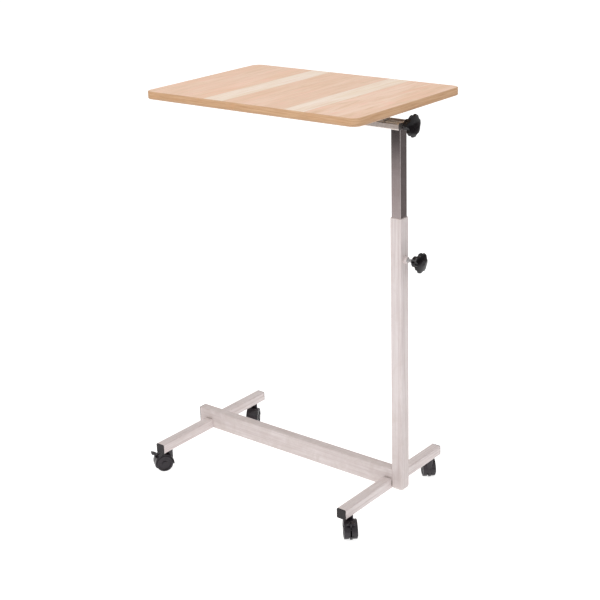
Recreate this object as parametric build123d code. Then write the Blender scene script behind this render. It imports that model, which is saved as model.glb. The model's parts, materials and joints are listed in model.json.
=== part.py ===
from build123d import *
import math
import os

# Overbed table: a laminated top that tilts on a clamped rod, carried by a chromed post that
# slides in a square column, on an I-shaped base with four swivelling twin-wheel casters.
# Millimetres, +Z up, +X towards the column side, -Y towards the user's front.
# While the pieces are built, the column's centre line is X = 0, Y = 0 and the floor is Z = 0.

# ---- table top ----
TOP_LENGTH = 600.0
TOP_WIDTH = 400.0
TOP_THICKNESS = 18.0
TOP_HEIGHT = 987.0          # upper face above the floor
TOP_OVERHANG = 34.0         # column centre line to the top's right-hand edge
TOP_CORNER_RADIUS = 22.0
EDGE_BAND_THICKNESS = 3.0
EDGE_BAND_ROUNDING = 2.4

# ---- column and sliding post ----
COLUMN_WIDTH = 30.0
COLUMN_WALL = 1.5
COLUMN_TOP = 727.0
COLUMN_FOOT = 61.5          # lower end of the tube, above its rounded plug
TUBE_CORNER = 3.0
TUBE_WALL = 1.2             # legs and post
POST_WIDTH = 25.0
POST_CORNER = 1.5
POST_LENGTH = 560.0
BUSHING_LENGTH = 40.0

# ---- base ----
LEG_UNDERSIDE = 55.0
LEG_SIZE = 25.0
LEG_SPAN = 400.0            # over both end caps
BEAM_WIDTH = 25.0
BEAM_HEIGHT = 50.0
BEAM_WALL = 1.5
LEFT_LEG_X = -601.5
BEAM_PROTRUSION = 18.5      # beam end beyond the left leg's outer face
CAP_FLANGE = 2.0
CAP_ROUNDING = 0.8
CAP_PLUG_DEPTH = 12.0
WELD_LEG = 2.5

# ---- tilting head ----
CRADLE_WIDTH = 54.0
CRADLE_HEIGHT = 12.5
CRADLE_LENGTH = 300.0
CRADLE_WALL = 1.5
CRADLE_OUTBOARD = 17.6      # cradle's right-hand end from the column centre line
POST_TOP = 928.0            # top of the post, where the cradle is welded on
TILT_AXIS_RISE = 8.0        # tilt axis above the cradle's underside
END_PLATE = 3.0
END_PLATE_HEIGHT = 15.5
EAR_THICKNESS = 3.0
EAR_RADIUS = 6.2
EAR_HALF_WIDTH = 18.0       # where the ear joins the bracket's plate
RIGHT_EAR_X = -36.0         # right ear's inboard face from the column centre line
BRACKET_PLATE = 2.0
BRACKET_WIDTH = 44.0
SPACER_DIAMETER = 11.0
WASHER_THICKNESS = 1.2
SCREW_SHANK_RADIUS = 2.0
SCREW_DEPTH = 13.0
ROD_DIAMETER = 8.0
RUNNING_GAP = 0.05          # radial clearance of a shaft in its hole
SIDE_GAP = 0.3              # clearance between faces that slide past each other

# ---- star knobs ----
KNOB_LENGTH = 25.0
KNOB_LOBES = 7
KNOB_CONE_START = 12.0      # where the back of the lobes rises from the hub
KNOB_RIM_START = 15.6
KNOB_DOME = 3.0             # rise of the face from its rim to its middle
KNOB_BORE_DEPTH = 18.0
TILT_KNOB_DIAMETER = 51.0
TILT_HUB_DIAMETER = 26.0
TILT_LOBE_ANGLE = -90.0     # direction of one lobe, degrees from +Y towards +Z
INSERT_DIAMETER = 12.0
HEIGHT_KNOB_DIAMETER = 47.0
HEIGHT_HUB_DIAMETER = 25.0
HEIGHT_LOBE_ANGLE = 46.0
CLAMP_HEIGHT = 631.0        # height knob's axis above the floor
CLAMP_HUB_START = 39.0      # height knob's hub from the column centre line
BOSS_DIAMETER = 16.0
BOSS_LENGTH = 8.0
PAD_LENGTH = 5.0

# ---- twin-wheel casters ----
CASTER_INSET = 32.0         # stem from the end of the leg
WHEEL_DIAMETER = 43.0
WHEEL_WIDTH = 12.0
WEB_THICKNESS = 6.4
WHEEL_SIDE_GAP = 0.8
CASTER_TRAIL = 16.0
HOOD_RADIUS = 25.0
HOOD_CAVITY_RADIUS = 22.7
HOOD_SKIRT_Z = 18.0
SWIVEL_BOSS_RADIUS = 9.0
STEM_DIAMETER = 8.0
STEM_FOOT = 42.5            # lower end of the stem, inside the hood
AXLE_DIAMETER = 6.0
BRAKE_PIVOT_X = 29.5        # from the stem's axis
BRAKE_PIVOT_Z = 29.0
BRAKE_PIN_RADIUS = 1.5
BRAKE_ARM_THICKNESS = 3.0
PEDAL_X = 40.5              # middle of the pedal
PEDAL_Z = 48.5
PEDAL_SLOPE = 25.0          # degrees, rising outwards
# Direction in which each caster trails, degrees from +X, and whether it has a brake lever.
CASTERS = {
    "left_front": (236.0, True),
    "left_rear": (300.0, False),
    "right_front": (312.0, True),
    "right_rear": (133.0, False),
}

# ---- values worked out from the driving dimensions ----
TOP_UNDERSIDE = TOP_HEIGHT - TOP_THICKNESS
COLUMN_BORE = COLUMN_WIDTH - 2 * COLUMN_WALL
PAD_START = POST_WIDTH / 2 + SIDE_GAP
TOP_CENTRE_X = TOP_OVERHANG - TOP_LENGTH / 2
RIGHT_LEG_X = -(COLUMN_WIDTH + LEG_SIZE) / 2
BEAM_LEFT = LEFT_LEG_X - LEG_SIZE / 2 - BEAM_PROTRUSION
BEAM_RIGHT = -COLUMN_WIDTH / 2
BEAM_CENTRE_Z = LEG_UNDERSIDE + BEAM_HEIGHT / 2
LEG_CENTRE_Z = LEG_UNDERSIDE + LEG_SIZE / 2
LEG_TUBE_LENGTH = LEG_SPAN - 2 * CAP_FLANGE
CRADLE_LEFT = CRADLE_OUTBOARD - CRADLE_LENGTH
CRADLE_CENTRE_X = CRADLE_OUTBOARD - CRADLE_LENGTH / 2
TILT_AXIS_Z = POST_TOP + TILT_AXIS_RISE
TILT_HUB_START = CRADLE_OUTBOARD + SIDE_GAP + WASHER_THICKNESS
AXLE_Z = WHEEL_DIAMETER / 2
CASTER_Y = LEG_SPAN / 2 - CASTER_INSET


def square_tube(width, height, length, wall, corner=TUBE_CORNER):
    """A rounded rectangular tube along +Z, centred on the origin."""
    outer = RectangleRounded(width, height, corner)
    inner = RectangleRounded(width - 2 * wall, height - 2 * wall, corner - wall / 2)
    return extrude(outer - inner, length / 2, both=True)


def along_x(shape):
    """Turns a shape built along +Z so that it runs along +X."""
    return Rot(0, 90, 0) * shape


def along_y(shape):
    """Turns a shape built along +Z so that it runs along +Y."""
    return Rot(-90, 0, 0) * shape


def rod(diameter, start, end):
    """A round bar along +X between two stations."""
    return Pos((start + end) / 2, 0, 0) * along_x(Cylinder(diameter / 2, end - start))


def box_between(low, high):
    """A block given by two opposite corners."""
    size = [high[i] - low[i] for i in range(3)]
    middle = [(high[i] + low[i]) / 2 for i in range(3)]
    return Pos(*middle) * Box(*size)


def table_board():
    outline = RectangleRounded(
        TOP_LENGTH - 2 * EDGE_BAND_THICKNESS,
        TOP_WIDTH - 2 * EDGE_BAND_THICKNESS,
        TOP_CORNER_RADIUS - EDGE_BAND_THICKNESS,
    )
    board = Pos(TOP_CENTRE_X, 0, TOP_UNDERSIDE) * extrude(outline, TOP_THICKNESS)
    for x, y in bracket_screw_places():
        board = board - Pos(x, y, TOP_UNDERSIDE) * extrude(Circle(SCREW_SHANK_RADIUS), SCREW_DEPTH)
    return board


def edge_band():
    outer = extrude(RectangleRounded(TOP_LENGTH, TOP_WIDTH, TOP_CORNER_RADIUS), TOP_THICKNESS)
    rims = outer.edges().filter_by(Plane.XY)
    outer = fillet(rims, EDGE_BAND_ROUNDING)
    inner = RectangleRounded(
        TOP_LENGTH - 2 * EDGE_BAND_THICKNESS,
        TOP_WIDTH - 2 * EDGE_BAND_THICKNESS,
        TOP_CORNER_RADIUS - EDGE_BAND_THICKNESS,
    )
    band = outer - extrude(inner, TOP_THICKNESS)
    return Pos(TOP_CENTRE_X, 0, TOP_UNDERSIDE) * band


def column_tube():
    length = COLUMN_TOP - COLUMN_FOOT
    tube = square_tube(COLUMN_WIDTH, COLUMN_WIDTH, length, COLUMN_WALL)
    tube = Pos(0, 0, COLUMN_FOOT + length / 2) * tube
    stud_hole = Pos(0, 0, CLAMP_HEIGHT) * rod(ROD_DIAMETER + 2 * RUNNING_GAP, 0, COLUMN_WIDTH)
    return tube - stud_hole


def column_bushing():
    """A thin guide sleeve inside the column's mouth, in which the post slides."""
    bore = POST_WIDTH + 2 * SIDE_GAP
    outer = RectangleRounded(COLUMN_BORE, COLUMN_BORE, TUBE_CORNER - COLUMN_WALL / 2)
    sleeve = outer - RectangleRounded(bore, bore, POST_CORNER + SIDE_GAP)
    return Pos(0, 0, COLUMN_TOP) * extrude(sleeve, -BUSHING_LENGTH)


def column_foot_plug():
    """A push-in plug with a rounded foot."""
    inner_corner = TUBE_CORNER - COLUMN_WALL / 2
    plug = extrude(RectangleRounded(COLUMN_BORE, COLUMN_BORE, inner_corner), CAP_PLUG_DEPTH)
    flange = extrude(RectangleRounded(COLUMN_WIDTH - 0.4, COLUMN_WIDTH - 0.4, 6.0), -5.5)
    flange = fillet(flange.faces().sort_by(Axis.Z)[0].edges(), 4.5)
    return Pos(0, 0, COLUMN_FOOT) * (plug + flange)


def clamp_boss():
    start = COLUMN_WIDTH / 2
    boss = rod(BOSS_DIAMETER, start, start + BOSS_LENGTH)
    boss = chamfer(boss.faces().sort_by(Axis.X)[-1].edges(), 1.0)
    boss = boss - rod(ROD_DIAMETER + 2 * RUNNING_GAP, start - 1, start + BOSS_LENGTH + 1)
    return Pos(0, 0, CLAMP_HEIGHT) * boss


def cross_beam():
    length = BEAM_RIGHT - BEAM_LEFT
    centre_x = (BEAM_RIGHT + BEAM_LEFT) / 2
    tube = along_x(square_tube(BEAM_HEIGHT, BEAM_WIDTH, length, BEAM_WALL))
    tube = Pos(centre_x, 0, BEAM_CENTRE_Z) * tube
    for leg_x in (LEFT_LEG_X, RIGHT_LEG_X):
        tube = tube - Pos(leg_x, 0, LEG_CENTRE_Z) * Box(LEG_SIZE, BEAM_WIDTH * 2, LEG_SIZE)
    return tube.solids().sort_by(SortBy.VOLUME)[-1]


def leg(leg_x):
    tube = along_y(square_tube(LEG_SIZE, LEG_SIZE, LEG_TUBE_LENGTH, TUBE_WALL))
    tube = Pos(leg_x, 0, LEG_CENTRE_Z) * tube
    for side in (-1, 1):
        tube = tube - Pos(leg_x, side * CASTER_Y, LEG_UNDERSIDE) * Cylinder(6.0, 6.0)
    return tube


def end_cap(width, height, wall):
    """A push-in cap whose flange stands on Z = 0 and whose plug reaches into -Z."""
    flange = extrude(RectangleRounded(width, height, TUBE_CORNER), CAP_FLANGE)
    flange = fillet(flange.faces().sort_by(Axis.Z)[-1].edges(), CAP_ROUNDING)
    outer = RectangleRounded(width - 2 * wall, height - 2 * wall, TUBE_CORNER - wall / 2)
    inner = RectangleRounded(width - 2 * wall - 4, height - 2 * wall - 4, 1.0)
    return flange + extrude(outer - inner, -CAP_PLUG_DEPTH)


def leg_cap(leg_x, side):
    cap = Rot(-90 * side, 0, 0) * end_cap(LEG_SIZE, LEG_SIZE, TUBE_WALL)
    return Pos(leg_x, side * LEG_TUBE_LENGTH / 2, LEG_CENTRE_Z) * cap


def beam_end_cap():
    cap = Rot(0, -90, 0) * end_cap(BEAM_HEIGHT, BEAM_WIDTH, BEAM_WALL)
    return Pos(BEAM_LEFT, 0, BEAM_CENTRE_Z) * cap


def weld_bead(start, first_leg, second_leg, length, along):
    """A fillet weld of triangular section whose corner line begins at start."""
    corner = Vector(*start)
    section = Wire.make_polygon([corner, corner + Vector(*first_leg), corner + Vector(*second_leg)])
    return extrude(Face(section), length, dir=Vector(*along))


def weld_beads():
    """Beads that join the beam to both legs, and the column to the leg and the beam."""
    beads = []
    deck = LEG_UNDERSIDE + LEG_SIZE
    face_x = -COLUMN_WIDTH / 2
    run = LEG_SIZE - 2 * TUBE_CORNER
    for side in (-1, 1):
        outward = (0, side * WELD_LEG, 0)
        for leg_x in (LEFT_LEG_X, RIGHT_LEG_X):
            start = (leg_x - run / 2, side * BEAM_WIDTH / 2, deck)
            beads.append(weld_bead(start, outward, (0, 0, WELD_LEG), run, (1, 0, 0)))
        foot = COLUMN_FOOT + 1
        start = (face_x, side * COLUMN_WIDTH / 2, foot)
        beads.append(weld_bead(start, outward, (WELD_LEG, 0, 0), deck - TUBE_CORNER - foot, (0, 0, 1)))
    half = BEAM_WIDTH / 2 - TUBE_CORNER
    start = (face_x, -half, LEG_UNDERSIDE + BEAM_HEIGHT)
    beads.append(weld_bead(start, (-WELD_LEG, 0, 0), (0, 0, WELD_LEG), 2 * half, (0, 1, 0)))
    return beads


def inner_post():
    tube = square_tube(POST_WIDTH, POST_WIDTH, POST_LENGTH, TUBE_WALL, POST_CORNER)
    return Pos(0, 0, POST_TOP - POST_LENGTH / 2) * tube


def post_glide():
    inner = POST_WIDTH - 2 * TUBE_WALL
    plug = extrude(RectangleRounded(inner, inner, POST_CORNER - TUBE_WALL / 2), 20.0)
    shoe = extrude(RectangleRounded(COLUMN_BORE - 0.4, COLUMN_BORE - 0.4, TUBE_CORNER), -12.0)
    hollow = Pos(0, 0, 4) * Box(inner - 5, inner - 5, 40)
    return Pos(0, 0, POST_TOP - POST_LENGTH) * (plug + shoe - hollow)


def head_cradle():
    """An upward-open channel with a taller, drilled plate closing each end."""
    half = CRADLE_WIDTH / 2
    outer = Box(CRADLE_LENGTH, CRADLE_WIDTH, CRADLE_HEIGHT)
    outer = Pos(CRADLE_CENTRE_X, 0, POST_TOP + CRADLE_HEIGHT / 2) * outer
    bottom = outer.edges().filter_by(Axis.X).sort_by(Axis.Z)[:2]
    outer = fillet(bottom, 3.0)
    hollow = box_between(
        (CRADLE_LEFT + END_PLATE, -half + CRADLE_WALL, POST_TOP + CRADLE_WALL),
        (CRADLE_OUTBOARD - END_PLATE, half - CRADLE_WALL, POST_TOP + CRADLE_HEIGHT + 1),
    )
    cradle = outer - hollow
    for start in (CRADLE_LEFT, CRADLE_OUTBOARD - END_PLATE):
        top = POST_TOP + END_PLATE_HEIGHT
        plate = box_between((start, -half, POST_TOP + 5), (start + END_PLATE, half, top))
        corners = plate.edges().filter_by(Axis.X).sort_by(Axis.Z)[-2:]
        cradle = cradle + fillet(corners, 4.0)
    rod_hole = Pos(0, 0, TILT_AXIS_Z) * rod(
        ROD_DIAMETER + 2 * RUNNING_GAP, CRADLE_LEFT - 1, CRADLE_OUTBOARD + 1
    )
    return cradle - rod_hole


def ear_stations():
    """X ranges of the bracket's two ears: by the left end plate, and just left of the post."""
    left = CRADLE_LEFT + END_PLATE + SIDE_GAP
    return (left, left + EAR_THICKNESS), (RIGHT_EAR_X, RIGHT_EAR_X + EAR_THICKNESS)


def bracket_ear(start):
    """A tapered ear, wide under the plate and rounded about the tilt axis."""
    rise = TOP_UNDERSIDE - BRACKET_PLATE - TILT_AXIS_Z
    corner_angle = math.atan2(rise, EAR_HALF_WIDTH)
    tangent_angle = corner_angle - math.acos(EAR_RADIUS / math.hypot(rise, EAR_HALF_WIDTH))
    y = EAR_RADIUS * math.cos(tangent_angle)
    z = EAR_RADIUS * math.sin(tangent_angle)
    flank = Polygon((-EAR_HALF_WIDTH, rise), (-y, z), (y, z), (EAR_HALF_WIDTH, rise), align=None)
    return Pos(start, 0, TILT_AXIS_Z) * extrude(Plane.YZ * (flank + Circle(EAR_RADIUS)), EAR_THICKNESS)


def table_bracket():
    """A plate screwed under the board, with an ear turned down at each end."""
    stations = ear_stations()
    left = stations[0][0]
    right = stations[1][1]
    half = BRACKET_WIDTH / 2
    bracket = box_between((left, -half, TOP_UNDERSIDE - BRACKET_PLATE), (right, half, TOP_UNDERSIDE))
    for station in stations:
        bracket = bracket + bracket_ear(station[0])
    bore = ROD_DIAMETER + 2 * RUNNING_GAP
    bracket = bracket - Pos(0, 0, TILT_AXIS_Z) * rod(bore, left - 1, right + 1)
    for x, y in bracket_screw_places():
        bracket = bracket - Pos(x, y, TOP_UNDERSIDE) * Cylinder(2.5, 3 * BRACKET_PLATE)
    return bracket


def bracket_screw_places():
    stations = ear_stations()
    span = stations[1][0] - stations[0][1]
    middle = (stations[1][0] + stations[0][1]) / 2
    pitch = (span - 30) / 3
    places = []
    for column in range(4):
        x = middle + (column - 1.5) * pitch
        for y in (-BRACKET_WIDTH / 2 + 7, BRACKET_WIDTH / 2 - 7):
            places.append((x, y))
    return places


def bracket_screws():
    """Pan-head chipboard screws, drawn with a cross slot."""
    screws = []
    underside = TOP_UNDERSIDE - BRACKET_PLATE
    for x, y in bracket_screw_places():
        head = Pos(0, 0, -2.4) * extrude(Circle(4.2), 2.4)
        head = fillet(head.faces().sort_by(Axis.Z)[0].edges(), 1.4)
        slot = Pos(0, 0, -2.4) * (Box(5.0, 1.0, 2.4) + Box(1.0, 5.0, 2.4))
        shank = extrude(Circle(SCREW_SHANK_RADIUS), SCREW_DEPTH + BRACKET_PLATE)
        screws.append(Pos(x, y, underside) * (head - slot + shank))
    return screws


def tilt_rod():
    end = TILT_HUB_START + KNOB_BORE_DEPTH - 3
    bar = rod(ROD_DIAMETER, CRADLE_LEFT - 10, end)
    return Pos(0, 0, TILT_AXIS_Z) * chamfer(bar.edges().filter_by(GeomType.CIRCLE), 0.8)


def rod_spacers():
    """Sleeves on the rod: between the ears, and from the right ear to the right end plate."""
    stations = ear_stations()
    spans = (
        (stations[0][1] + SIDE_GAP, stations[1][0] - SIDE_GAP),
        (stations[1][1] + SIDE_GAP, CRADLE_OUTBOARD - END_PLATE - SIDE_GAP),
    )
    sleeves = []
    for start, end in spans:
        sleeve = rod(SPACER_DIAMETER, start, end) - rod(ROD_DIAMETER + 0.2, start - 1, end + 1)
        sleeves.append(Pos(0, 0, TILT_AXIS_Z) * sleeve)
    return sleeves


def rod_lock_nut():
    """A flanged hexagon lock nut at the rod's inboard end."""
    hexagon = extrude(RegularPolygon(6.5, 6, major_radius=False), 6.5)
    flange = extrude(Circle(8.0), 1.5)
    nut = flange + hexagon - Pos(0, 0, -1) * extrude(Circle(ROD_DIAMETER / 2), 9)
    return Pos(CRADLE_LEFT, 0, TILT_AXIS_Z) * Rot(0, -90, 0) * nut


def clamp_washer():
    start = CRADLE_OUTBOARD + SIDE_GAP
    end = TILT_HUB_START
    ring = rod(18.0, start, end) - rod(ROD_DIAMETER + 0.2, start - 1, end + 1)
    return Pos(0, 0, TILT_AXIS_Z) * ring


def star_knob(diameter, hub_diameter, bore_diameter, lobe_angle):
    """A knob along +X from X = 0: hub, cone, lobed rim and domed face, with a blind bore."""
    radius = diameter / 2
    hub = hub_diameter / 2
    shoulder = KNOB_LENGTH - KNOB_DOME
    profile = Polyline(
        (0, 0), (hub - 0.6, 0), (hub, 0.6), (hub, KNOB_CONE_START), (radius - 1.2, KNOB_RIM_START),
        (radius, KNOB_RIM_START + 1.6), (radius, shoulder - 2.4), (radius - 0.7, shoulder - 0.7),
        (radius - 2.4, shoulder),
    )
    dome = ThreePointArc((radius - 2.4, shoulder), (radius * 0.5, KNOB_LENGTH - 0.6), (0, KNOB_LENGTH))
    section = make_face(profile + dome + Line((0, KNOB_LENGTH), (0, 0)))
    body = revolve(Plane.XZ * section, Axis.Z)
    notch_circle = radius + 3.8
    grip = Circle(radius + 1)
    for lobe in range(KNOB_LOBES):
        angle = math.radians((lobe + 0.5) * 360 / KNOB_LOBES + lobe_angle + 90)
        grip = grip - Pos(notch_circle * math.cos(angle), notch_circle * math.sin(angle)) * Circle(8.0)
    knob = body & extrude(grip, KNOB_LENGTH)
    knob = knob - extrude(Circle(bore_diameter / 2), KNOB_BORE_DEPTH)
    return along_x(knob)


def tilt_knob():
    knob = star_knob(TILT_KNOB_DIAMETER, TILT_HUB_DIAMETER, INSERT_DIAMETER, TILT_LOBE_ANGLE)
    return Pos(TILT_HUB_START, 0, TILT_AXIS_Z) * knob


def tilt_knob_insert():
    start = TILT_HUB_START
    end = start + KNOB_BORE_DEPTH
    sleeve = rod(INSERT_DIAMETER, start, end) - rod(ROD_DIAMETER + 2 * RUNNING_GAP, start - 1, end + 1)
    return Pos(0, 0, TILT_AXIS_Z) * sleeve


def height_knob():
    knob = star_knob(HEIGHT_KNOB_DIAMETER, HEIGHT_HUB_DIAMETER, ROD_DIAMETER, HEIGHT_LOBE_ANGLE)
    return Pos(CLAMP_HUB_START, 0, CLAMP_HEIGHT) * knob


def height_stud():
    stud = rod(ROD_DIAMETER, PAD_START + PAD_LENGTH, CLAMP_HUB_START + KNOB_BORE_DEPTH)
    return Pos(0, 0, CLAMP_HEIGHT) * stud


def clamp_pad():
    return Pos(0, 0, CLAMP_HEIGHT) * rod(ROD_DIAMETER, PAD_START, PAD_START + PAD_LENGTH)


def caster_hood(has_brake):
    """Hood in the caster's own frame: stem on the Z axis, axle along Y at +X."""
    half = WEB_THICKNESS / 2 + WHEEL_SIDE_GAP + WHEEL_WIDTH
    axle_place = Pos(CASTER_TRAIL, 0, AXLE_Z) * Rot(90, 0, 0)
    hood = axle_place * Cylinder(HOOD_RADIUS, 2 * half)
    hood = fillet(hood.edges().filter_by(GeomType.CIRCLE), 1.5)
    hood = hood + Pos(0, 0, LEG_UNDERSIDE - 14) * Cylinder(SWIVEL_BOSS_RADIUS, 23.0)
    for side in (-1, 1):
        depth = WHEEL_WIDTH + WHEEL_SIDE_GAP + 2
        middle = side * (WEB_THICKNESS / 2 + depth / 2)
        cavity = Pos(CASTER_TRAIL, middle, AXLE_Z) * Rot(90, 0, 0) * Cylinder(HOOD_CAVITY_RADIUS, depth)
        hood = hood - cavity
        skirt = box_between((-40, middle - depth / 2, -10), (60, middle + depth / 2, HOOD_SKIRT_Z))
        hood = hood - skirt
    hood = hood - box_between((-40, -10, -10), (60, 10, 6.0))
    hood = hood - axle_place * Cylinder(AXLE_DIAMETER / 2, WEB_THICKNESS + 2)
    hood = hood - Pos(0, 0, STEM_FOOT) * extrude(Circle(STEM_DIAMETER / 2), 40)
    if has_brake:
        slot = BRAKE_ARM_THICKNESS / 2 + SIDE_GAP
        hood = hood - box_between((BRAKE_PIVOT_X - 5, -slot, 15.0), (60, slot, 48.0))
        hood = hood - Pos(BRAKE_PIVOT_X, 0, BRAKE_PIVOT_Z) * Rot(90, 0, 0) * Cylinder(BRAKE_PIN_RADIUS, 12)
    return hood.solids().sort_by(SortBy.VOLUME)[-1]


def caster_stem():
    shank = Pos(0, 0, STEM_FOOT) * extrude(Circle(STEM_DIAMETER / 2), LEG_UNDERSIDE + 20 - STEM_FOOT)
    collar = Pos(0, 0, LEG_UNDERSIDE - 2.5) * extrude(Circle(6.0), 1.2)
    return shank + collar


def caster_socket():
    """Flanged sleeve pressed up into the leg's lower wall."""
    sleeve = extrude(Circle(6.0), 18.0) + extrude(Circle(8.0), -1.0)
    bore = Pos(0, 0, -2) * extrude(Circle(STEM_DIAMETER / 2 + RUNNING_GAP), 22)
    return Pos(0, 0, LEG_UNDERSIDE) * (sleeve - bore)


def caster_axle():
    half = WEB_THICKNESS / 2 + WHEEL_SIDE_GAP + WHEEL_WIDTH - 3.0
    return Pos(CASTER_TRAIL, 0, AXLE_Z) * Rot(90, 0, 0) * Cylinder(AXLE_DIAMETER / 2, 2 * half)


def caster_wheel(side):
    """A wheel with a rounded tread, a dished outer face and a closed hub."""
    radius = WHEEL_DIAMETER / 2
    wheel = extrude(Circle(radius), WHEEL_WIDTH)
    wheel = fillet(wheel.edges().filter_by(GeomType.CIRCLE), 2.0)
    dish = extrude(Circle(radius - 5.0) - Circle(6.5), 2.0)
    wheel = wheel - Pos(0, 0, WHEEL_WIDTH - 2.0) * dish
    inner_dish = extrude(Circle(radius - 3.5) - Circle(5.5), 6.0)
    wheel = wheel - inner_dish
    bore = Pos(0, 0, -1) * extrude(Circle(AXLE_DIAMETER / 2 + RUNNING_GAP), WHEEL_WIDTH - 1.7)
    wheel = wheel - bore
    inner_face = side * (WEB_THICKNESS / 2 + WHEEL_SIDE_GAP)
    return Pos(CASTER_TRAIL, inner_face, AXLE_Z) * Rot(-90 * side, 0, 0) * wheel


def brake_lever():
    """A sloping pedal above the hood's end, on an arm that pivots in the hood's web."""
    across = PEDAL_X - BRAKE_PIVOT_X
    rise = PEDAL_Z - BRAKE_PIVOT_Z
    pivot = Pos(BRAKE_PIVOT_X, 0, BRAKE_PIVOT_Z)
    half = BRAKE_ARM_THICKNESS / 2
    arm = box_between((0, -half, -2.4), (math.hypot(across, rise), half, 2.4))
    arm = pivot * Rot(0, -math.degrees(math.atan2(rise, across)), 0) * arm
    eye = pivot * Rot(90, 0, 0) * Cylinder(3.6, BRAKE_ARM_THICKNESS)
    pedal = Box(14.0, 17.0, 3.4)
    pedal = fillet(pedal.edges().filter_by(Axis.Z), 2.5)
    for x in (-3.5, 0.0, 3.5):
        pedal = pedal + Pos(x, 0, 1.9) * Box(1.2, 12.0, 1.0)
    pedal = Pos(PEDAL_X, 0, PEDAL_Z) * Rot(0, -PEDAL_SLOPE, 0) * pedal
    bore = pivot * Rot(90, 0, 0) * Cylinder(BRAKE_PIN_RADIUS + RUNNING_GAP, 8)
    return arm + eye + pedal - bore


def brake_pin():
    return Pos(BRAKE_PIVOT_X, 0, BRAKE_PIVOT_Z) * Rot(90, 0, 0) * Cylinder(BRAKE_PIN_RADIUS, WEB_THICKNESS)


def caster_place(corner):
    """The caster's stem position on its leg, turned to its trailing direction."""
    leg_x = LEFT_LEG_X if corner.startswith("left") else RIGHT_LEG_X
    side = -1 if corner.endswith("front") else 1
    return Pos(leg_x, side * CASTER_Y, 0) * Rot(0, 0, CASTERS[corner][0])


def all_nodes():
    nodes = {
        "table_board": table_board(),
        "edge_band": edge_band(),
        "table_bracket": table_bracket(),
        "bracket_screws": bracket_screws(),
        "inner_post": inner_post(),
        "post_glide": post_glide(),
        "head_cradle": head_cradle(),
        "tilt_rod": tilt_rod(),
        "rod_spacers": rod_spacers(),
        "rod_lock_nut": rod_lock_nut(),
        "clamp_washer": clamp_washer(),
        "tilt_knob": tilt_knob(),
        "tilt_knob_insert": tilt_knob_insert(),
        "column_tube": column_tube(),
        "column_bushing": column_bushing(),
        "column_foot_plug": column_foot_plug(),
        "clamp_boss": clamp_boss(),
        "clamp_pad": clamp_pad(),
        "height_stud": height_stud(),
        "height_knob": height_knob(),
        "cross_beam": cross_beam(),
        "beam_end_cap": beam_end_cap(),
        "left_leg": leg(LEFT_LEG_X),
        "right_leg": leg(RIGHT_LEG_X),
        "weld_beads": weld_beads(),
        "leg_cap_left_front": leg_cap(LEFT_LEG_X, -1),
        "leg_cap_left_rear": leg_cap(LEFT_LEG_X, 1),
        "leg_cap_right_front": leg_cap(RIGHT_LEG_X, -1),
        "leg_cap_right_rear": leg_cap(RIGHT_LEG_X, 1),
    }
    for corner, (direction, has_brake) in CASTERS.items():
        place = caster_place(corner)
        nodes["caster_socket_" + corner] = place * caster_socket()
        nodes["caster_stem_" + corner] = place * caster_stem()
        nodes["caster_hood_" + corner] = place * caster_hood(has_brake)
        nodes["caster_axle_" + corner] = place * caster_axle()
        nodes["caster_wheel_a_" + corner] = place * caster_wheel(-1)
        nodes["caster_wheel_b_" + corner] = place * caster_wheel(1)
        if has_brake:
            nodes["brake_lever_" + corner] = place * brake_lever()
            nodes["brake_pin_" + corner] = place * brake_pin()
    return nodes


def frame_shift(nodes):
    """Moves the middle of the whole part's length to X = 0. Y and Z are already right."""
    boxes = []
    for shape in nodes.values():
        solids = shape if isinstance(shape, list) else [shape]
        boxes += [solid.bounding_box() for solid in solids]
    left = min(box.min.X for box in boxes)
    right = max(box.max.X for box in boxes)
    return -(left + right) / 2


def main():
    os.makedirs("parts", exist_ok=True)
    nodes = all_nodes()
    to_frame = Pos(frame_shift(nodes), 0, 0)
    for name, shape in nodes.items():
        if isinstance(shape, list):
            shape = Compound(children=[to_frame * solid for solid in shape])
        else:
            shape = to_frame * shape
        export_step(shape, "parts/" + name + ".step")


main()
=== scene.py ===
import json
import math
import random

import bmesh
import bpy
from mathutils import Matrix, Vector


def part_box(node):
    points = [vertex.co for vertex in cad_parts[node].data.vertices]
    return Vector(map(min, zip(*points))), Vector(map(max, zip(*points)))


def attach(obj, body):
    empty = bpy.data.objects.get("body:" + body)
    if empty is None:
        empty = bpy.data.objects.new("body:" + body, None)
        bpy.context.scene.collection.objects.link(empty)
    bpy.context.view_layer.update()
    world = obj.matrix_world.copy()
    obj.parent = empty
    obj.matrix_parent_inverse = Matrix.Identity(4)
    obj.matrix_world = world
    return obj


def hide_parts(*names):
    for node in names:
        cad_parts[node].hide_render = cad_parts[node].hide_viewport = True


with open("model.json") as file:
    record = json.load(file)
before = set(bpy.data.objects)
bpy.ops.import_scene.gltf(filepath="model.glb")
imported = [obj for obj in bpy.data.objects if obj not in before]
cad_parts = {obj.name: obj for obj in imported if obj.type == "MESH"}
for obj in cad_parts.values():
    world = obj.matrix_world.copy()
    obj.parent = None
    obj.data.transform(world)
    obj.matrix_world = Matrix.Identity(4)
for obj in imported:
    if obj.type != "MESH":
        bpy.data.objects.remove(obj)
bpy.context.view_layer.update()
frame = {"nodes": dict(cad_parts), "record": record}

NODES = frame["nodes"]
MM = 0.001


# ---------------------------------------------------------------- places from the frame

def node_box(name):
    """Lowest and highest corners of a CAD node as vectors."""
    low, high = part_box(name)
    return Vector(low), Vector(high)


def middle(name):
    """The middle of a CAD node's box."""
    low, high = node_box(name)
    return (low + high) / 2


COLUMN = middle("column_tube")
BOARD_LOW, BOARD_HIGH = node_box("table_board")


# ---------------------------------------------------------------- camera

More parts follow.
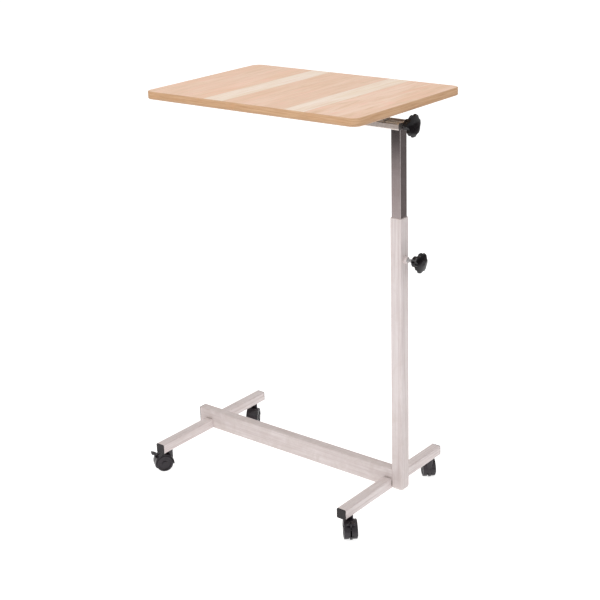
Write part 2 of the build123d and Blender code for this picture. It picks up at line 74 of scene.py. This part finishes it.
def make_camera():
    """The photograph's view: from the right front, a little above the top."""
    offset = Vector((1.54, -2.253, 1.5393))       # from the column's foot on the floor
    turn, tilt, roll = -0.682, 0.352, 0.033       # radians: from +Y towards -X, down, clockwise
    forward = Vector((math.sin(turn) * math.cos(tilt), math.cos(turn) * math.cos(tilt), -math.sin(tilt)))
    level = Vector((math.cos(turn), -math.sin(turn), 0))
    down = forward.cross(level)
    right = level * math.cos(roll) + down * math.sin(roll)
    up = -(down * math.cos(roll) - level * math.sin(roll))
    data = bpy.data.cameras.new("camera")
    data.sensor_width = 36.0
    data.lens = 77.1
    data.clip_end = 50.0
    camera = bpy.data.objects.new("camera", data)
    bpy.context.scene.collection.objects.link(camera)
    turned = Matrix((right, up, -forward)).transposed().to_4x4()
    camera.matrix_world = Matrix.Translation(Vector((COLUMN.x, COLUMN.y, 0)) + offset) @ turned
    bpy.context.scene.camera = camera


make_camera()


# ---------------------------------------------------------------- material helpers

def linear(red, green, blue):
    """A colour given in screen values of 0 to 255, as the linear colour that a shader takes."""
    def one(value):
        value = value / 255
        return value / 12.92 if value <= 0.04045 else ((value + 0.055) / 1.055) ** 2.4
    return (one(red), one(green), one(blue), 1.0)


class Shader:
    """A node material with short calls for the nodes that the surfaces here need."""

    def __init__(self, name):
        self.material = bpy.data.materials.new(name)
        self.material.use_nodes = True
        self.nodes = self.material.node_tree.nodes
        self.links = self.material.node_tree.links
        self.surface = self.nodes["Principled BSDF"]
        self.place = self.nodes.new("ShaderNodeTexCoord").outputs["Object"]

    def put(self, socket, value):
        """Links another node's socket, or sets a plain value."""
        if isinstance(value, bpy.types.NodeSocket):
            self.links.new(value, socket)
        elif value is not None:
            socket.default_value = value

    def set(self, **values):
        """Sets or links the surface's sockets, named with _ for a space."""
        for name, value in values.items():
            self.put(self.surface.inputs[name.replace("_", " ")], value)

    def stretched(self, x, y, z, vector=None):
        """The object's coordinates, scaled per axis."""
        node = self.nodes.new("ShaderNodeVectorMath")
        node.operation = "MULTIPLY"
        self.put(node.inputs[0], vector or self.place)
        self.put(node.inputs[1], (x, y, z))
        return node.outputs[0]

    def noise(self, scale=1.0, vector=None, detail=3.0, rough=0.55, distortion=0.0):
        node = self.nodes.new("ShaderNodeTexNoise")
        self.put(node.inputs["Vector"], vector or self.place)
        self.put(node.inputs["Scale"], scale)
        self.put(node.inputs["Detail"], detail)
        self.put(node.inputs["Roughness"], rough)
        self.put(node.inputs["Distortion"], distortion)
        return node.outputs[0]

    def cells(self, scale):
        """Distance to the nearest of many scattered points."""
        node = self.nodes.new("ShaderNodeTexVoronoi")
        self.put(node.inputs["Vector"], self.place)
        self.put(node.inputs["Scale"], scale)
        return node.outputs["Distance"]

    def math(self, operation, first, second=None, third=None):
        node = self.nodes.new("ShaderNodeMath")
        node.operation = operation
        for socket, value in zip(node.inputs, (first, second, third)):
            self.put(socket, value)
        return node.outputs[0]

    def axis(self, index):
        """One of the object's three coordinates."""
        node = self.nodes.new("ShaderNodeSeparateXYZ")
        self.put(node.inputs[0], self.place)
        return node.outputs[index]

    def span(self, value, low, high, to_low=0.0, to_high=1.0):
        """Value mapped from one range to another, and held at its ends."""
        node = self.nodes.new("ShaderNodeMapRange")
        for socket, number in zip(node.inputs, (value, low, high, to_low, to_high)):
            self.put(socket, number)
        return node.outputs[0]

    def mix(self, factor, first, second):
        """One colour over another; sockets 6 and 7 and output 2 are the node's colour ones."""
        node = self.nodes.new("ShaderNodeMix")
        node.data_type = "RGBA"
        self.put(node.inputs[0], factor)
        self.put(node.inputs[6], first)
        self.put(node.inputs[7], second)
        return node.outputs[2]

    def random(self, value):
        """A number from 0 to 1 that is the same wherever the value is the same."""
        node = self.nodes.new("ShaderNodeTexWhiteNoise")
        node.noise_dimensions = "1D"
        self.put(node.inputs["W"], value)
        return node.outputs["Value"]

    def bump(self, height, distance, strength):
        node = self.nodes.new("ShaderNodeBump")
        self.put(node.inputs["Height"], height)
        self.put(node.inputs["Distance"], distance)
        self.put(node.inputs["Strength"], strength)
        return node.outputs[0]

    def edge_wear(self, radius, low=0.02, high=0.2):
        """1 along convex edges, from the angle between the rounded and the true normal."""
        bevel = self.nodes.new("ShaderNodeBevel")
        bevel.samples = 4
        bevel.inputs["Radius"].default_value = radius
        geometry = self.nodes.new("ShaderNodeNewGeometry")
        dot = self.nodes.new("ShaderNodeVectorMath")
        dot.operation = "DOT_PRODUCT"
        self.put(dot.inputs[0], bevel.outputs[0])
        self.put(dot.inputs[1], geometry.outputs["Normal"])
        return self.span(dot.outputs["Value"], 1 - low, 1 - high)


# ---------------------------------------------------------------- materials

PLANK = 56.5 * MM               # width of one printed plank
FIRST_EXTRA = 8.0 * MM          # the plank at the board's left-hand end is this much wider
STRIP_EVERY = 4                 # one pale strip after every three tan planks


def laminate():
    """Satin laminate printed with planks across the top; every fourth plank is pale."""
    s = Shader("laminate")
    along = s.math("SUBTRACT", s.axis(0), BOARD_LOW.x + FIRST_EXTRA)
    plank = s.math("MAXIMUM", s.math("FLOOR", s.math("DIVIDE", along, PLANK)), 0.0)
    in_plank = s.math("FRACT", s.math("DIVIDE", along, PLANK))
    pale = s.math("COMPARE", s.math("FLOORED_MODULO", plank, STRIP_EVERY), STRIP_EVERY - 1, 0.1)
    shift = s.nodes.new("ShaderNodeCombineXYZ")
    s.put(shift.inputs[1], s.math("MULTIPLY", s.random(plank), 7.0))
    offset = s.nodes.new("ShaderNodeVectorMath")
    offset.operation = "ADD"
    s.put(offset.inputs[0], s.place)
    s.put(offset.inputs[1], shift.outputs[0])
    own_place = offset.outputs[0]
    broad = s.noise(1.0, s.stretched(24, 3.4, 1, own_place), detail=3, distortion=1.1)
    figure = s.noise(1.0, s.stretched(46, 5.5, 1, own_place), detail=3, rough=0.6, distortion=2.2)
    streaks = s.noise(1.0, s.stretched(170, 7, 1, own_place), detail=4, rough=0.65, distortion=0.5)
    pores = s.noise(1.0, s.stretched(900, 28, 1, own_place), detail=3, rough=0.7)
    tan = s.mix(s.span(broad, 0.34, 0.66), linear(238, 198, 166), linear(250, 218, 196))
    tan = s.mix(s.span(figure, 0.52, 0.68, 0.0, 0.75), tan, linear(252, 200, 178))
    tan = s.mix(s.span(figure, 0.46, 0.32, 0.0, 0.65), tan, linear(224, 188, 152))
    tan = s.mix(s.math("MULTIPLY", s.random(s.math("ADD", plank, 31.0)), 0.45), tan, linear(232, 198, 172))
    cream = s.mix(s.span(broad, 0.32, 0.68), linear(244, 223, 198), linear(253, 236, 221))
    colour = s.mix(pale, tan, cream)
    grain = s.span(streaks, 0.48, 0.72, 0.0, 0.5)
    colour = s.mix(grain, colour, linear(224, 180, 148))
    colour = s.mix(s.span(pores, 0.58, 0.8, 0.0, 0.35), colour, linear(206, 162, 130))
    seam = s.span(s.math("ABSOLUTE", s.math("SUBTRACT", in_plank, 0.5)), 0.487, 0.499, 0.0, 0.4)
    past_first = s.span(along, PLANK / 2, PLANK / 2 + MM)       # no seam inside the first plank
    seam = s.math("MULTIPLY", seam, past_first)
    colour = s.mix(seam, colour, linear(190, 156, 132))
    underside = s.span(s.axis(2), BOARD_LOW.z + 1.5 * MM, BOARD_LOW.z + 0.5 * MM)
    backing = s.mix(s.noise(55.0, detail=4), linear(196, 168, 140), linear(212, 186, 158))
    colour = s.mix(underside, colour, backing)
    rough = s.span(streaks, 0.3, 0.7, 0.38, 0.5)
    s.set(Base_Color=colour, Roughness=rough, Specular_IOR_Level=0.36,
          Normal=s.bump(s.math("ADD", streaks, pores), 0.06 * MM, 0.5))
    return s.material


def edge_band():
    """Oak-coloured plastic edging, its print running round the board, with painted shade along its lower
    edge.
    """
    s = Shader("oak_edge_band")
    lines = s.noise(1.0, s.stretched(14, 14, 420), detail=4, rough=0.6, distortion=0.5)
    flecks = s.noise(1.0, s.stretched(60, 60, 1300), detail=2)
    blotches = s.noise(1.0, s.stretched(38, 38, 90), detail=3, distortion=0.8)
    colour = s.mix(s.span(lines, 0.35, 0.68), linear(221, 182, 144), linear(196, 152, 113))
    colour = s.mix(s.span(blotches, 0.55, 0.72, 0.0, 0.45), colour, linear(222, 170, 128))
    colour = s.mix(s.span(flecks, 0.6, 0.8, 0.0, 0.45), colour, linear(176, 134, 100))
    # painted shade: the band darkens towards its lower edge
    low = s.span(s.axis(2), BOARD_LOW.z + 6.0 * MM, BOARD_LOW.z + 2.5 * MM, 0.0, 0.5)
    colour = s.mix(low, colour, linear(190, 158, 132))
    s.set(Base_Color=colour, Roughness=s.span(lines, 0.3, 0.7, 0.36, 0.48), Specular_IOR_Level=0.4,
          Normal=s.bump(flecks, 0.04 * MM, 0.5))
    return s.material


FLOOR_DARKENING = (0.6, 0.15, 0.5)         # how much darker the tubes along X, Y and Z are near the floor
DARKENING_FROM, DARKENING_FULL = 0.4, 0.08        # heights at which the darkening starts and is strongest


def powder_coat(axis, darkening_strength):
    """Warm white powder coat: orange peel, faint lines along the tube, scuffs, and blotches that darken
    towards the floor.
    """
    s = Shader("white_powder_coat_" + "xyz"[axis])
    scale = [300, 300, 300]
    scale[axis] = 6
    peel = s.noise(620.0, detail=2, rough=0.5)
    cloud = s.noise(9.0, detail=4)
    lines = s.noise(1.0, s.stretched(*scale), detail=3, rough=0.6, distortion=0.3)
    runs = s.noise(22.0, detail=4, rough=0.6, distortion=1.5)
    colour = s.mix(s.span(cloud, 0.3, 0.7), linear(218, 207, 206), linear(228, 219, 218))
    colour = s.mix(s.span(lines, 0.5, 0.7, 0.0, 0.75), colour, linear(196, 181, 180))
    colour = s.mix(s.span(lines, 0.48, 0.3, 0.0, 0.5), colour, linear(238, 231, 230))
    colour = s.mix(s.span(runs, 0.5, 0.75, 0.0, 0.4), colour, linear(208, 194, 188))
    # the tubes turn darker in blotches towards the floor
    near_floor = s.span(s.axis(2), DARKENING_FROM, DARKENING_FULL, 0.0, darkening_strength)
    patches = s.span(s.noise(38.0, detail=4, distortion=1.0), 0.3, 0.65, 0.3, 1.0)
    colour = s.mix(s.math("MULTIPLY", near_floor, patches), colour, linear(196, 183, 178))
    specks = s.span(s.noise(260.0, detail=3, rough=0.7), 0.66, 0.8, 0.0, 0.4)
    colour = s.mix(specks, colour, linear(186, 174, 168))
    s.set(Base_Color=colour, Roughness=s.span(cloud, 0.3, 0.7, 0.34, 0.44), Specular_IOR_Level=0.4,
          Normal=s.bump(s.math("ADD", peel, lines), 0.05 * MM, 0.6))
    return s.material


def painted_weld():
    """The same paint over weld scales, flecked with grey grains and darker spots."""
    s = Shader("painted_weld")
    grains = s.noise(900.0, detail=4, rough=0.7)
    spatter = s.cells(700.0)
    colour = s.mix(s.span(grains, 0.35, 0.65), linear(132, 121, 117), linear(212, 201, 196))
    colour = s.mix(s.span(spatter, 0.3, 0.1, 0.0, 0.6), colour, linear(106, 97, 94))
    s.set(Base_Color=colour, Roughness=s.span(grains, 0.3, 0.7, 0.35, 0.55), Specular_IOR_Level=0.4,
          Normal=s.bump(grains, 0.2 * MM, 0.8))
    return s.material


def chrome():
    """Bright plating with faint drawing lines and a few handling marks."""
    s = Shader("chrome_plate")
    lines = s.noise(1.0, s.stretched(700, 700, 10), detail=3, rough=0.6)
    marks = s.noise(34.0, detail=5, rough=0.7)
    colour = s.mix(s.span(marks, 0.35, 0.75), (0.66, 0.62, 0.62, 1), (0.56, 0.51, 0.5, 1))
    colour = s.mix(s.span(lines, 0.45, 0.75, 0.0, 0.4), colour, (0.5, 0.44, 0.43, 1))
    s.set(Base_Color=colour, Metallic=1.0, Roughness=s.span(marks, 0.3, 0.75, 0.07, 0.14),
          Normal=s.bump(lines, 0.01 * MM, 0.5))
    return s.material


def satin_plate():
    """Warm satin plating on the folded channel, with brushing along it and dull spots."""
    s = Shader("satin_plate")
    brushing = s.noise(1.0, s.stretched(20, 900, 900), detail=3, rough=0.6)
    spots = s.noise(90.0, detail=4, rough=0.7)
    colour = s.mix(s.span(spots, 0.35, 0.7), (0.86, 0.8, 0.77, 1), (0.66, 0.58, 0.53, 1))
    colour = s.mix(s.span(brushing, 0.5, 0.75, 0.0, 0.35), colour, (0.5, 0.42, 0.38, 1))
    s.set(Base_Color=colour, Metallic=1.0, Roughness=s.span(spots, 0.3, 0.7, 0.34, 0.46),
          Normal=s.bump(brushing, 0.02 * MM, 0.5))
    return s.material


def steel(name, tint, rough):
    """Zinc plate or turned brass, with fine lines along the rod."""
    s = Shader(name)
    grain = s.noise(1.0, s.stretched(500, 1500, 1500), detail=3, rough=0.6)
    patches = s.noise(140.0, detail=3)
    low = [value * 0.82 for value in tint[:3]] + [1]
    colour = s.mix(s.span(patches, 0.3, 0.7), low, tint)
    s.set(Base_Color=colour, Metallic=1.0, Roughness=s.span(grain, 0.3, 0.7, rough - 0.06, rough + 0.1),
          Normal=s.bump(grain, 0.02 * MM, 0.5))
    return s.material


THREAD_PITCH = 1.25 * MM


def threaded_steel():
    """Zinc-plated rod with a thread along it; its grooves are painted dark and its crests pale, as painted
    shade and painted highlight.
    """
    s = Shader("threaded_steel")
    thread = s.math("SINE", s.math("MULTIPLY", s.axis(0), 2 * math.pi / THREAD_PITCH))
    patches = s.noise(160.0, detail=3)
    # painted shade in the thread's grooves and painted highlight on its crests
    colour = s.mix(s.span(thread, -0.9, 0.4), (0.3, 0.3, 0.31, 1), (0.74, 0.74, 0.75, 1))
    colour = s.mix(s.span(patches, 0.4, 0.7, 0.0, 0.3), colour, (0.5, 0.49, 0.46, 1))
    s.set(Base_Color=colour, Metallic=1.0, Roughness=s.span(patches, 0.3, 0.7, 0.2, 0.34),
          Normal=s.bump(thread, 0.25 * MM, 0.8))
    return s.material


def black_plastic(name, dark, light, rough, shine, grain_scale, grain_depth):
    """Moulded plastic: a fine spark-eroded grain, flow clouds and rubbed edges."""
    s = Shader(name)
    grain = s.noise(grain_scale, detail=3, rough=0.6)
    cloud = s.noise(45.0, detail=4)
    colour = s.mix(s.span(cloud, 0.3, 0.7), linear(*dark), linear(*light))
    rubbed = s.math("MULTIPLY", s.edge_wear(0.8 * MM), s.span(s.noise(120.0, detail=3), 0.4, 0.65))
    colour = s.mix(s.math("MULTIPLY", rubbed, 0.35), colour, linear(96, 94, 94))
    s.set(Base_Color=colour, Roughness=s.span(cloud, 0.3, 0.7, rough - 0.05, rough + 0.07),
          Specular_IOR_Level=shine, Normal=s.bump(grain, grain_depth, 0.7))
    return s.material


def white_plastic():
    """Satin moulded plastic with a fine grain, for the bushing and the column's foot."""
    s = Shader("white_plastic")
    grain = s.noise(1100.0, detail=2)
    cloud = s.noise(60.0, detail=3)
    colour = s.mix(s.span(cloud, 0.3, 0.7), linear(212, 204, 200), linear(222, 214, 210))
    s.set(Base_Color=colour, Roughness=0.48, Normal=s.bump(grain, 0.03 * MM, 0.6))
    return s.material


BLACK_PLASTICS = {
    # darkest and lightest tone, roughness, specular level, grains per metre, depth of the grain
    "knob_plastic": ((7, 5, 8), (17, 13, 18), 0.2, 0.34, 1400.0, 0.03 * MM),
    "cap_plastic": ((20, 16, 19), (33, 27, 31), 0.42, 0.35, 1100.0, 0.05 * MM),
    "caster_plastic": ((24, 19, 25), (42, 35, 43), 0.3, 0.5, 1200.0, 0.04 * MM),
    "wheel_nylon": ((28, 23, 29), (46, 39, 46), 0.38, 0.4, 900.0, 0.05 * MM),
    "socket_plastic": ((44, 43, 45), (58, 56, 58), 0.5, 0.3, 900.0, 0.04 * MM),
}
MATERIALS = {
    "laminated_board": laminate(),
    "oak_edge_band": edge_band(),
    "white_plastic": white_plastic(),
    "chrome_plate": chrome(),
    "zinc_steel": steel("zinc_steel", (0.62, 0.62, 0.63, 1), 0.28),
    "brass": steel("brass", (0.78, 0.58, 0.28, 1), 0.3),
}
MATERIALS.update({slot: black_plastic(slot, *looks) for slot, looks in BLACK_PLASTICS.items()})

PAINTED_TUBES = [powder_coat(axis, tube_darkening) for axis, tube_darkening in enumerate(FLOOR_DARKENING)]
PAINTED_WELD = painted_weld()
THREADED_STEEL = threaded_steel()
OWN_MATERIAL = {
    "height_stud": THREADED_STEEL,
    "tilt_rod": THREADED_STEEL,
    "head_cradle": satin_plate(),
    "weld_beads": PAINTED_WELD,
}


def longest_axis(node):
    """0, 1 or 2 for the axis that a node is longest along."""
    low, high = node_box(node)
    size = high - low
    return max(range(3), key=lambda axis: size[axis])


def dress_nodes():
    """Gives every CAD node its own material or its slot's; the paint's lines run along each tube."""
    for part in frame["record"]["subparts"]:
        node, slot = part["node"], part["material_slot"]
        if node in OWN_MATERIAL:
            material = OWN_MATERIAL[node]
        elif slot == "white_powder_coat":
            material = PAINTED_TUBES[longest_axis(node)]
        else:
            material = MATERIALS[slot]
        mesh = NODES[node].data
        mesh.materials.clear()
        mesh.materials.append(material)


dress_nodes()


# ---------------------------------------------------------------- weld seams

SCALE_PITCH = 2.1 * MM          # one ripple of the weld
RING_STEP = 0.35 * MM           # between two rings of vertices along a bead
ARC_STEPS = 7                   # vertices of a ring on the bead's rounded face
ROUNDNESS = 0.55                # 0 is a flat face from leg to leg, 1 a quarter circle
TAPER_LENGTH = 2.0 * MM         # at each end of a bead
END_SIZE = 0.35                 # of a bead's full size, at its two ends
SCALE_EDGE = 0.78               # of the full size, where two ripples meet
SCALE_RISE = 0.2                # how much larger a ripple is at its middle
SAME_PLACE = 0.1 * MM           # corners closer than this along an axis are level


def straight_beads():
    """The corner, the two legs and the run of each fillet bead in the CAD."""
    work = bmesh.new()
    work.from_mesh(NODES["weld_beads"].data)
    bmesh.ops.remove_doubles(work, verts=work.verts, dist=1e-5)
    waiting = set(work.verts)
    beads = []
    while waiting:
        group = [waiting.pop()]
        for vertex in group:
            for edge in vertex.link_edges:
                other = edge.other_vert(vertex)
                if other in waiting:
                    waiting.remove(other)
                    group.append(other)
        beads.append(bead_frame([vertex.co.copy() for vertex in group]))
    work.free()
    return sorted(beads, key=lambda bead: tuple(bead[0]))


def bead_frame(points):
    """Start corner, run, and legs of a triangular prism that lies along one axis."""
    low = Vector([min(point[axis] for point in points) for axis in range(3)])
    high = Vector([max(point[axis] for point in points) for axis in range(3)])
    size = high - low
    run_axis = max(range(3), key=lambda axis: size[axis])
    first, second = [axis for axis in range(3) if axis != run_axis]
    near = [point for point in points if point[run_axis] < low[run_axis] + SAME_PLACE]

    def fits(corner):
        level = [point for point in near if abs(point[first] - corner[first]) < SAME_PLACE]
        upright = [point for point in near if abs(point[second] - corner[second]) < SAME_PLACE]
        return len(level) > 1 and len(upright) > 1

    corner = next(point for point in near if fits(point))
    run, leg, other_leg = Vector(), Vector(), Vector()
    run[run_axis] = size[run_axis]
    leg[first] = size[first] if corner[first] < low[first] + SAME_PLACE else -size[first]
    other_leg[second] = size[second] if corner[second] < low[second] + SAME_PLACE else -size[second]
    return corner, run, leg, other_leg


def rippled_bead(bead, chance):
    """Vertices and faces of one bead: overlapping scales with rounded ends."""
    corner, run, leg, other_leg = bead
    rings = int(run.length / RING_STEP)
    vertices, faces = [], []
    phase = chance.random()
    for ring in range(rings + 1):
        share = ring / rings
        to_end = min(share, 1 - share) * run.length
        taper = min(1.0, END_SIZE + (1 - END_SIZE) * math.sqrt(to_end / TAPER_LENGTH))
        turn = (share * run.length / SCALE_PITCH + phase) % 1
        ripple = SCALE_EDGE + SCALE_RISE * math.sin(math.pi * turn) ** 0.6
        size = taper * ripple * chance.uniform(0.97, 1.0)
        place = corner + run * share
        vertices.append(place)
        for step in range(ARC_STEPS):
            part = step / (ARC_STEPS - 1)
            angle = part * math.pi / 2
            across = ROUNDNESS * math.cos(angle) + (1 - ROUNDNESS) * (1 - part)
            up = ROUNDNESS * math.sin(angle) + (1 - ROUNDNESS) * part
            vertices.append(place + (leg * across + other_leg * up) * size)
    count = ARC_STEPS + 1
    for ring in range(rings):
        for step in range(count):
            a = ring * count + step
            b = ring * count + (step + 1) % count
            faces.append((a, b, b + count, a + count))
    faces.append(tuple(range(count)))
    faces.append(tuple(range(rings * count, rings * count + count)))
    return vertices, faces


def weld_seams():
    """All the beads as one rippled, painted piece."""
    chance = random.Random(11)
    vertices, faces = [], []
    for bead in straight_beads():
        points, polygons = rippled_bead(bead, chance)
        start = len(vertices)
        vertices += points
        faces += [tuple(index + start for index in polygon) for polygon in polygons]
    mesh = bpy.data.meshes.new("weld_seams")
    mesh.from_pydata(vertices, [], faces)
    work = bmesh.new()
    work.from_mesh(mesh)
    bmesh.ops.recalc_face_normals(work, faces=work.faces)
    work.to_mesh(mesh)
    work.free()
    mesh.polygons.foreach_set("use_smooth", [True] * len(mesh.polygons))
    mesh.materials.append(PAINTED_WELD)
    seams = bpy.data.objects.new("weld_seams", mesh)
    bpy.context.scene.collection.objects.link(seams)
    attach(seams, "base")
    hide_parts("weld_beads")


weld_seams()


# ---------------------------------------------------------------- studio

FLOOR_HALF = 7.0
FLOOR_GLOW = 0.85
WORLD_LIGHT = 0.62              # what the surroundings send onto the table
WORLD_SEEN = 1.05               # how bright they look from the camera
SCREEN_STEP = 4                 # degrees between two uprights of a curved screen


def floor():
    """A large pale floor that glows a little, so that shadows on it stay faint."""
    mesh = bpy.data.meshes.new("floor")
    corners = [(x * FLOOR_HALF, y * FLOOR_HALF, 0) for x, y in ((-1, -1), (1, -1), (1, 1), (-1, 1))]
    mesh.from_pydata(corners, [], [(0, 1, 2, 3)])
    plane = bpy.data.objects.new("floor", mesh)
    bpy.context.scene.collection.objects.link(plane)
    s = Shader("floor")
    tone = s.mix(s.noise(1.5, detail=3), (0.56, 0.56, 0.56, 1), (0.6, 0.6, 0.6, 1))
    s.set(Base_Color=tone, Roughness=0.9, Specular_IOR_Level=0.1,
          Emission_Color=(1, 1, 1, 1), Emission_Strength=FLOOR_GLOW)
    mesh.materials.append(s.material)


def screen(name, start, end, distance, height, tones):
    """A low curved screen round the column between two azimuths in degrees, for the chrome to reflect.

    Its tones are pairs of a height above the floor and the tone there. No camera sees it directly."""
    steps = (end - start) // SCREEN_STEP
    foot = Vector((COLUMN.x, COLUMN.y, 0))
    vertices = []
    for step in range(steps + 1):
        azimuth = math.radians(start + (end - start) * step / steps)
        place = foot + Vector((math.cos(azimuth), math.sin(azimuth), 0)) * distance
        vertices += [place, place + Vector((0, 0, height))]
    faces = [(2 * step, 2 * step + 2, 2 * step + 3, 2 * step + 1) for step in range(steps)]
    mesh = bpy.data.meshes.new(name)
    mesh.from_pydata(vertices, [], faces)
    curtain = bpy.data.objects.new(name, mesh)
    bpy.context.scene.collection.objects.link(curtain)
    s = Shader(name)
    tone = tones[0][1]
    for (low, low_tone), (high, high_tone) in zip(tones, tones[1:]):
        tone = s.math("ADD", tone, s.span(s.axis(2), low, high, 0.0, high_tone - low_tone))
    tone = s.math("MULTIPLY", tone, s.span(s.noise(3.0, detail=3), 0.3, 0.7, 0.92, 1.08))
    s.set(Base_Color=s.mix(tone, (0, 0, 0, 1), (1, 0.9, 0.9, 1)), Roughness=0.9, Specular_IOR_Level=0.1)
    mesh.materials.append(s.material)
    curtain.visible_camera = False


def area_light(name, place, target, size, power):
    """A soft rectangular light that faces a target."""
    data = bpy.data.lights.new(name, "AREA")
    data.shape = "RECTANGLE"
    data.size, data.size_y = size
    data.energy = power
    light = bpy.data.objects.new(name, data)
    light.location = place
    aim = Vector(target) - Vector(place)
    light.rotation_mode = "QUATERNION"
    light.rotation_quaternion = aim.to_track_quat("-Z", "Y")
    bpy.context.scene.collection.objects.link(light)


def studio():
    """Pale surroundings, three soft lights, four screens and the floor."""
    world = bpy.data.worlds.new("studio")
    bpy.context.scene.world = world
    world.use_nodes = True
    nodes, links = world.node_tree.nodes, world.node_tree.links
    background = nodes["Background"]
    path = nodes.new("ShaderNodeLightPath")
    strength = nodes.new("ShaderNodeMapRange")
    strength.inputs["To Min"].default_value = WORLD_LIGHT
    strength.inputs["To Max"].default_value = WORLD_SEEN
    links.new(path.outputs["Is Camera Ray"], strength.inputs["Value"])
    links.new(strength.outputs[0], background.inputs["Strength"])
    background.inputs["Color"].default_value = (1.0, 0.99, 0.985, 1)
    centre = (0, 0, 0.5)
    area_light("key", (-1.0, -2.4, 2.8), centre, (1.8, 1.8), 30)
    area_light("fill", (2.8, -1.0, 1.6), centre, (1.4, 2.0), 8)
    area_light("top", (0.2, 0.4, 3.4), centre, (2.4, 2.4), 14)
    # the post's left faces reflect these, pale near its foot and dark near its head
    shaded = ((0.06, 0.64), (0.18, 0.54), (0.27, 0.43), (0.36, 0.16), (0.46, 0.01))
    screen("screen_left", 176, 266, 2.25, 0.85, shaded)
    screen("screen_front_left", 266, 288, 2.25, 0.6, ((0.05, 0.5), (0.4, 0.25)))
    screen("screen_front_right", 322, 345, 1.9, 0.6, ((0.05, 0.4), (0.4, 0.25)))
    screen("screen_right", 345, 445, 1.9, 0.7, ((0.1, 0.21), (0.5, 0.15)))
    floor()


studio()
bpy.context.scene.view_settings.view_transform = "Standard"
